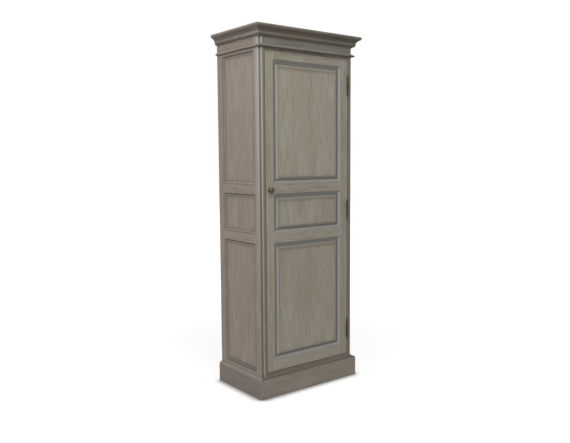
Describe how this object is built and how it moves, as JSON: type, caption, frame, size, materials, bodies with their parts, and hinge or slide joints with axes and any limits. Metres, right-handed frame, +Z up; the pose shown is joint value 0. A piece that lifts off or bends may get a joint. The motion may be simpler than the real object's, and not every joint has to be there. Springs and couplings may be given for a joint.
{
  "type": "bonnetiere cabinet",
  "caption": "Tall narrow oak cabinet with one inset raised-panel door, coved corner posts, framed sides, crown cornice, plinth base and adjustable shelves inside.",
  "frame": {"origin": "on the floor, under the middle of the overall box", "axes": "+X right seen from the front, front faces -Y, +Z up"},
  "size_m": [0.8, 0.48, 2.15],
  "materials": {
    "case_oak": "weathered grey-taupe driftwood oak, matt, with dark glaze in the mouldings",
    "panel_oak": "weathered grey-taupe driftwood oak panels, matt, upright grain",
    "inner_oak": "plain grey-taupe oak, satin, on the inside",
    "antique_bronze": "dark antique bronze, softly worn on its edges",
    "steel": "plain nickelled steel",
    "brown_plastic": "moulded brown plastic"
  },
  "bodies": {
    "cabinet": {"left_front_post": "case_oak", "right_front_post": "case_oak", "left_rear_post": "case_oak", "right_rear_post": "case_oak", "left_bottom_side_rail": "case_oak", "right_bottom_side_rail": "case_oak", "left_lower_side_rail": "case_oak", "right_lower_side_rail": "case_oak", "left_upper_side_rail": "case_oak", "right_upper_side_rail": "case_oak", "left_top_side_rail": "case_oak", "right_top_side_rail": "case_oak", "front_bottom_rail": "case_oak", "front_top_rail": "case_oak", "left_lower_side_panel": "panel_oak", "right_lower_side_panel": "panel_oak", "left_middle_side_panel": "panel_oak", "right_middle_side_panel": "panel_oak", "left_upper_side_panel": "panel_oak", "right_upper_side_panel": "panel_oak", "rear_bottom_rail": "inner_oak", "rear_top_rail": "inner_oak", "back_boards": "inner_oak", "floor_board": "inner_oak", "fixed_shelf": "inner_oak", "plinth_blocks": "inner_oak", "top_board": "case_oak", "plinth_front": "case_oak", "plinth_left": "case_oak", "plinth_right": "case_oak", "astragal_front": "case_oak", "astragal_left": "case_oak", "astragal_right": "case_oak", "cornice_front": "case_oak", "cornice_left": "case_oak", "cornice_right": "case_oak", "hinge_frame_leaves": "antique_bronze", "hinge_pins": "antique_bronze", "shelf_pins": "steel", "catch_magnet": "brown_plastic"},
    "door": {"door_lock_stile": "case_oak", "door_hinge_stile": "case_oak", "door_bottom_rail": "case_oak", "door_lower_rail": "case_oak", "door_lock_rail": "case_oak", "door_top_rail": "case_oak", "door_lower_panel": "panel_oak", "door_middle_panel": "panel_oak", "door_upper_panel": "panel_oak", "hinge_door_leaves": "antique_bronze", "knob": "antique_bronze", "knob_rosette": "antique_bronze", "knob_screw": "steel", "catch_strike": "steel"},
    "lower_shelf": {"lower_shelf": "inner_oak"},
    "middle_shelf": {"middle_shelf": "inner_oak"},
    "upper_shelf": {"upper_shelf": "inner_oak"}
  },
  "joints": [
    {"name": "door_hinge", "type": "hinge", "parent": "cabinet", "child": "door", "pos_m": [0.3185, -0.2033, 1.08], "axis": [0, 0, 1], "range_deg": [0, 175]},
    {"name": "lower_shelf_lift", "type": "slide", "parent": "cabinet", "child": "lower_shelf", "axis": [0, 0, 1], "range_m": [0, 0.064]},
    {"name": "middle_shelf_lift", "type": "slide", "parent": "cabinet", "child": "middle_shelf", "axis": [0, 0, 1], "range_m": [0, 0.064]},
    {"name": "upper_shelf_lift", "type": "slide", "parent": "cabinet", "child": "upper_shelf", "axis": [0, 0, 1], "range_m": [0, 0.064]}
  ]
}
